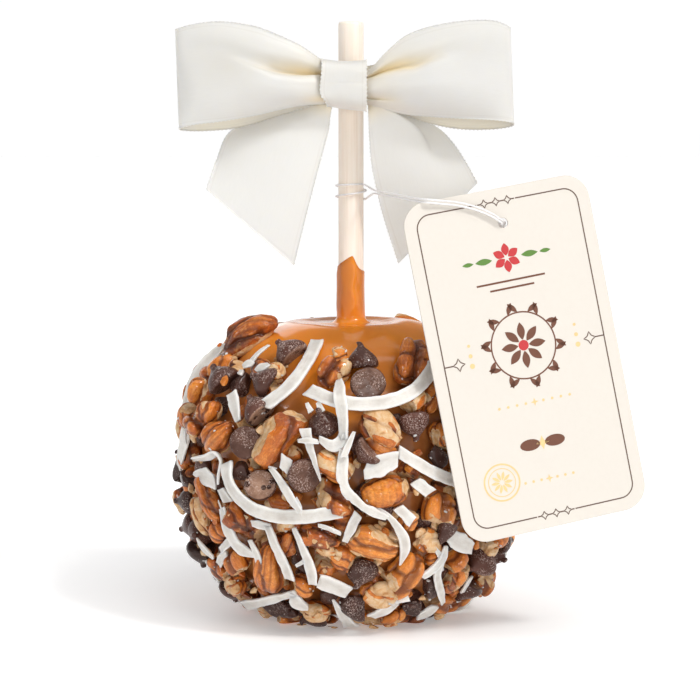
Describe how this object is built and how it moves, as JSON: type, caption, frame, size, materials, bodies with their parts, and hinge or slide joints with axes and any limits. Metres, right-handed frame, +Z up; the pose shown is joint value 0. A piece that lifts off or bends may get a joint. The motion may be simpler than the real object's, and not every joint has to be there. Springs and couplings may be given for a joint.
{
  "type": "caramel apple",
  "caption": "Caramel apple on a wooden stick, coated in chopped pecans, chocolate chips and coconut shavings, with a satin bow and a card hang tag.",
  "frame": {"origin": "centre of the flat foot that the apple rests on, on the axis of the stick", "axes": "+Z up along the stick, -Y the front that the tag and the bow face, +X to the right seen from the front"},
  "size_m": [0.115, 0.0926, 0.1485],
  "materials": {
    "caramel": "glossy set caramel, orange brown",
    "pecan": "chopped pecan, orange-brown skin and cream broken faces, satin",
    "chocolate": "dark chocolate, satin with a faint bloom",
    "coconut": "dried coconut shavings, white, slightly translucent",
    "stick_wood": "bare smooth pale hardwood dowel, fine grain",
    "satin_ribbon": "ivory satin ribbon with a woven picot edge",
    "tag_card": "uncoated cream card with a thin brown printed border",
    "thread": "thin white twisted thread"
  },
  "bodies": {
    "root": {"caramel_apple": "caramel", "topping_coat": "pecan", "pecan_shoulder_left": "pecan", "pecan_rim_mid": "pecan", "pecan_rim_right": "pecan", "pecan_cup_left": "pecan", "pecan_front_mid": "pecan", "pecan_front_striped": "pecan", "pecan_front_low": "pecan", "pecan_tall_low": "pecan", "pecan_foot_right": "pecan", "chip_shoulder_left": "chocolate", "chip_rim_tip": "chocolate", "chip_rim_disc": "chocolate", "chip_shoulder_far": "chocolate", "chip_upper_left": "chocolate", "chip_front_mid": "chocolate", "chip_front_pale": "chocolate", "coconut_curl_left": "coconut", "coconut_arc_front": "coconut", "coconut_sweep_left": "coconut", "coconut_wave_front": "coconut", "stick": "stick_wood", "bow_knot": "satin_ribbon", "bow_loop_left": "satin_ribbon", "bow_loop_right": "satin_ribbon", "bow_tail_left": "satin_ribbon", "bow_tail_right": "satin_ribbon", "tag": "tag_card", "tag_thread": "thread", "thread_knot": "thread"}
  },
  "joints": []
}
